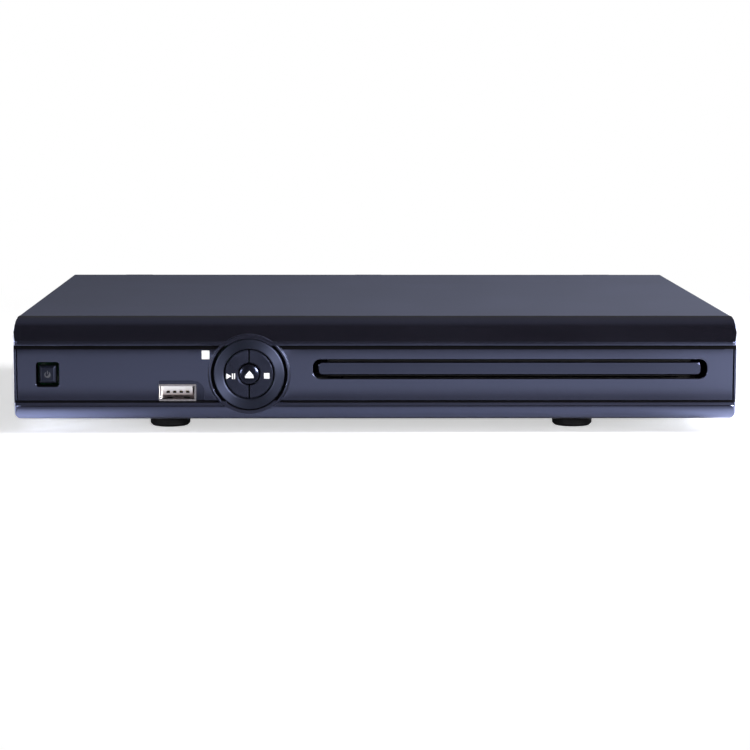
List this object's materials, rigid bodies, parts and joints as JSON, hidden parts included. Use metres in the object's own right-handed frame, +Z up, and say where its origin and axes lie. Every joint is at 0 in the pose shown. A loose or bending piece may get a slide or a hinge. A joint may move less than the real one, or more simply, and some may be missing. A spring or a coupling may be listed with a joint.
{
  "type": "disc player with tray",
  "caption": "Compact home disc player in a painted steel case with a gloss moulded front, round button set and a motor-driven disc tray.",
  "frame": {"origin": "on the floor under the middle of the object's box", "axes": "+X to the right seen from the front, +Y to the back, +Z up; the front panel faces -Y"},
  "size_m": [0.27, 0.208, 0.0434],
  "materials": {
    "painted_cover": "fine matte blue-grey paint",
    "zinc_sheet": "zinc-plated sheet",
    "rear_paint": "black matte paint",
    "gloss_front": "high-gloss black moulding",
    "satin_ring": "satin black moulding",
    "white_window": "milky diffuser",
    "satin_button": "fine matte moulding",
    "gloss_button": "gloss moulding",
    "black_rubber": "moulded rubber",
    "black_screw": "black oxide",
    "green_board": "solder mask",
    "dark_plastic": "moulded",
    "nickel_shell": "nickel-plated",
    "white_plastic": "moulded",
    "brass_contact": "gold-flashed brass",
    "tray_plastic": "fine spark-eroded texture",
    "loader_plastic": "moulded",
    "steel_screw": "zinc-plated",
    "magnet_metal": "nickel-plated ferrite",
    "motor_steel": "drawn can",
    "polished_rod": "ground rod",
    "cast_carrier": "die-cast carrier",
    "lens_glass": "coated lens",
    "tan_board": "bare laminate",
    "transformer_tape": "yellow tape over ferrite"
  },
  "bodies": {
    "casing": {"top_cover": "painted_cover", "base_pan": "zinc_sheet", "rear_panel": "rear_paint", "front_bezel": "gloss_front", "control_ring": "satin_ring", "indicator_window": "white_window", "foot_front_left": "black_rubber", "foot_front_right": "black_rubber", "foot_rear_left": "black_rubber", "foot_rear_right": "black_rubber", "cover_side_screws": "black_screw", "cover_rear_screws": "black_screw", "front_board": "green_board", "tact_switches": "dark_plastic", "power_switch": "dark_plastic", "indicator_led": "white_window", "remote_sensor": "dark_plastic", "port_shell": "nickel_shell", "port_tongue": "white_plastic", "port_contacts": "brass_contact", "loader_frame": "loader_plastic", "loader_screws": "steel_screw", "clamp_bridge": "zinc_sheet", "bridge_screws": "steel_screw", "drive_belt": "black_rubber", "loading_motor": "motor_steel", "front_ribbon": "white_plastic", "power_board": "tan_board", "transformer": "transformer_tape", "power_parts": "dark_plastic", "mains_inlet": "dark_plastic", "main_board": "green_board", "main_chips": "dark_plastic", "av_socket": "nickel_shell", "phono_block": "dark_plastic", "phono_jacks": "brass_contact", "board_screws": "steel_screw"},
    "tray": {"disc_tray": "tray_plastic", "tray_door": "gloss_front"},
    "drive_gear": {"drive_gear": "white_plastic"},
    "motor_pulley": {"motor_pulley": "white_plastic"},
    "traverse": {"traverse_frame": "dark_plastic", "deck_plate": "zinc_sheet", "deck_grommets": "black_rubber", "deck_screws": "steel_screw", "spindle_motor": "motor_steel", "guide_rods": "polished_rod", "sled_motor": "motor_steel"},
    "spindle": {"spindle_rotor": "motor_steel", "turntable": "dark_plastic"},
    "sled": {"pickup": "cast_carrier", "pickup_lens": "lens_glass"},
    "lead_screw": {"lead_screw": "brass_contact"},
    "cam_slider": {"cam_slider": "white_plastic"},
    "clamp": {"clamp_puck": "dark_plastic", "clamp_magnet": "magnet_metal"},
    "play_pause": {"play_pause_button": "satin_button"},
    "stop": {"stop_button": "satin_button"},
    "eject": {"eject_button": "gloss_button"},
    "power": {"power_button": "gloss_button"}
  },
  "joints": [
    {"name": "tray_slide", "type": "slide", "parent": "casing", "child": "tray", "axis": [0, -1, 0], "range_m": [0, 0.14]},
    {"name": "drive_gear_spin", "type": "hinge", "parent": "casing", "child": "drive_gear", "pos_m": [-0.0259, -0.078, 0.022], "axis": [0, 0, 1], "continuous": true},
    {"name": "motor_pulley_spin", "type": "hinge", "parent": "casing", "child": "motor_pulley", "pos_m": [-0.0336, -0.05, 0.019], "axis": [0, 0, 1], "continuous": true},
    {"name": "traverse_lift", "type": "hinge", "parent": "casing", "child": "traverse", "pos_m": [0.0502, 0.072, 0.0142], "axis": [-1, 0, 0], "range_deg": [-2.4, 0]},
    {"name": "cam_slide", "type": "slide", "parent": "casing", "child": "cam_slider", "axis": [1, 0, 0], "range_m": [0, 0.0161]},
    {"name": "turntable_spin", "type": "hinge", "parent": "traverse", "child": "spindle", "pos_m": [0.0502, -0.026, 0.0243], "axis": [0, 0, 1], "continuous": true},
    {"name": "sled_slide", "type": "slide", "parent": "traverse", "child": "sled", "axis": [0, 1, 0], "range_m": [0, 0.034]},
    {"name": "lead_screw_spin", "type": "hinge", "parent": "traverse", "child": "lead_screw", "pos_m": [0.0212, 0.02, 0.0139], "axis": [0, 1, 0], "continuous": true},
    {"name": "clamp_spin", "type": "hinge", "parent": "casing", "child": "clamp", "pos_m": [0.0502, -0.026, 0.028], "axis": [0, 0, 1], "continuous": true},
    {"name": "play_pause_push", "type": "slide", "parent": "casing", "child": "play_pause", "axis": [0, 1, 0], "range_m": [0, 0.0006], "stiffness_N_per_m": 800},
    {"name": "stop_push", "type": "slide", "parent": "casing", "child": "stop", "axis": [0, 1, 0], "range_m": [0, 0.0006], "stiffness_N_per_m": 800},
    {"name": "eject_push", "type": "slide", "parent": "casing", "child": "eject", "axis": [0, 1, 0], "range_m": [0, 0.0006], "stiffness_N_per_m": 800},
    {"name": "power_push", "type": "slide", "parent": "casing", "child": "power", "axis": [0, 1, 0], "range_m": [0, 0.002], "stiffness_N_per_m": 600}
  ],
  "couplings": [
    {"joint": "drive_gear_spin", "follows": "tray_slide", "rad_per_m": -111.11},
    {"joint": "motor_pulley_spin", "follows": "tray_slide", "rad_per_m": -376.81},
    {"joint": "cam_slide", "follows": "traverse_lift", "m_per_rad": -0.38197},
    {"joint": "lead_screw_spin", "follows": "sled_slide", "rad_per_m": 2094.4}
  ]
}
